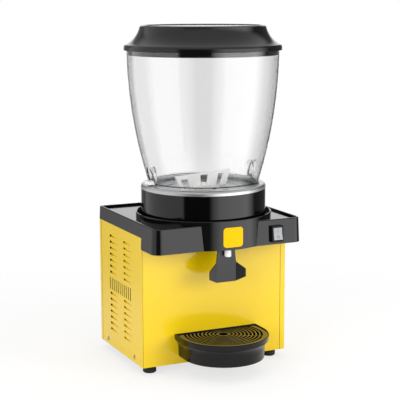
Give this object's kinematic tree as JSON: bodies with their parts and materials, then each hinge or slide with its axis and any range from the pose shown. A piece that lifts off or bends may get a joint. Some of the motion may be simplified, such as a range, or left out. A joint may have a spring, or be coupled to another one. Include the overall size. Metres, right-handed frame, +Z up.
{
  "type": "cold drink dispenser",
  "caption": "Counter-top chilled drink dispenser: clear bowl with stirring paddle on a cooled plate, tap lever, drip tray and a sheet body with its cooling machine.",
  "frame": {"origin": "on the table, under the middle of the whole outline", "axes": "+X to the right seen from the tap side, +Y from the tap side to the rear, +Z up"},
  "size_m": [0.3472, 0.3935, 0.7382],
  "materials": {
    "yellow_paint": "semi-gloss powder coat",
    "galvanised": "zinc-plated sheet",
    "black_plastic": "satin moulded",
    "black_rubber": "matt",
    "white_plastic": "satin moulded",
    "steel": "spun and brushed",
    "clear_plastic": "clear polished",
    "foam": "closed-cell foam",
    "copper": "drawn copper",
    "cast": "black enamel",
    "fins": "bare fins",
    "magnet": "ferrite",
    "grey_plastic": "moulded"
  },
  "bodies": {
    "housing": {"rubber_feet": "black_rubber", "base_pan": "galvanised", "left_side_panel": "yellow_paint", "right_side_panel": "yellow_paint", "front_panel": "yellow_paint", "rear_panel": "yellow_paint", "body_screws": "galvanised", "top_deck": "black_plastic", "cooling_collar": "black_plastic", "cold_plate": "steel", "bowl_gasket": "black_rubber", "insulation": "foam", "outlet_tube": "white_plastic", "evaporator_jacket": "copper", "motor_strap": "galvanised", "mixer_motor": "cast", "tap_block": "black_plastic", "tap_spout": "white_plastic", "valve_spring": "steel", "lever_pin": "steel", "switch_bezel": "black_plastic", "compressor": "cast", "compressor_plate": "galvanised", "compressor_grommets": "black_rubber", "relay_box": "black_plastic", "suction_pipe": "copper", "discharge_pipe": "copper", "condenser_fins": "fins", "fan_shroud": "galvanised", "fan_motor": "cast", "fan_bracket": "galvanised", "filter_drier": "copper", "thermostat": "grey_plastic", "terminal_block": "white_plastic", "cord_gland": "black_rubber"},
    "bowl": {"bowl": "clear_plastic", "bowl_lugs": "white_plastic"},
    "lid": {"lid": "black_plastic"},
    "paddle": {"mixer_paddle": "white_plastic"},
    "magnet": {"drive_magnet": "magnet"},
    "lever": {"tap_lever": "black_plastic"},
    "plunger": {"valve_plunger": "white_plastic"},
    "rocker": {"switch_rocker": "grey_plastic"},
    "fan": {"fan_blades": "black_plastic"},
    "spindle": {"thermostat_spindle": "white_plastic"},
    "tray": {"drip_tray": "black_plastic"},
    "grille": {"drip_grille": "black_plastic"}
  },
  "joints": [
    {"name": "bowl_lift", "type": "slide", "parent": "housing", "child": "bowl", "axis": [0, 0, 1], "range_m": [0, 0.1]},
    {"name": "lid_lift", "type": "slide", "parent": "bowl", "child": "lid", "axis": [0, 0, 1], "range_m": [0, 0.12]},
    {"name": "magnet_spin", "type": "hinge", "parent": "housing", "child": "magnet", "pos_m": [0, 0.00215, 0.3803], "axis": [0, 0, 1], "continuous": true},
    {"name": "paddle_spin", "type": "hinge", "parent": "housing", "child": "paddle", "pos_m": [0, 0.00215, 0.3903], "axis": [0, 0, 1], "continuous": true},
    {"name": "lever_push", "type": "hinge", "parent": "housing", "child": "lever", "pos_m": [0, -0.13175, 0.287], "axis": [1, 0, 0], "range_deg": [0, 18], "stiffness_Nm_per_rad": 0.35, "springref_deg": -6.88},
    {"name": "plunger_lift", "type": "slide", "parent": "housing", "child": "plunger", "axis": [0, 0, 1], "range_m": [0, 0.0038], "deforming": ["valve_spring"]},
    {"name": "rocker_tilt", "type": "hinge", "parent": "housing", "child": "rocker", "pos_m": [0.1088, -0.13701, 0.29955], "axis": [1, 0, 0], "range_deg": [0, 16]},
    {"name": "fan_spin", "type": "hinge", "parent": "housing", "child": "fan", "pos_m": [-0.1058, 0.06525, 0.1667], "axis": [1, 0, 0], "continuous": true},
    {"name": "thermostat_turn", "type": "hinge", "parent": "housing", "child": "spindle", "pos_m": [0.092, 0.18555, 0.2727], "axis": [0, -1, 0], "range_deg": [0, 270]},
    {"name": "tray_lift", "type": "slide", "parent": "housing", "child": "tray", "axis": [0, 0, 1], "range_m": [0, 0.01]},
    {"name": "grille_lift", "type": "slide", "parent": "tray", "child": "grille", "axis": [0, 0, 1], "range_m": [0, 0.05]}
  ],
  "couplings": [
    {"joint": "paddle_spin", "follows": "magnet_spin", "ratio": 1},
    {"joint": "plunger_lift", "follows": "lever_push", "m_per_rad": 0.0115}
  ]
}
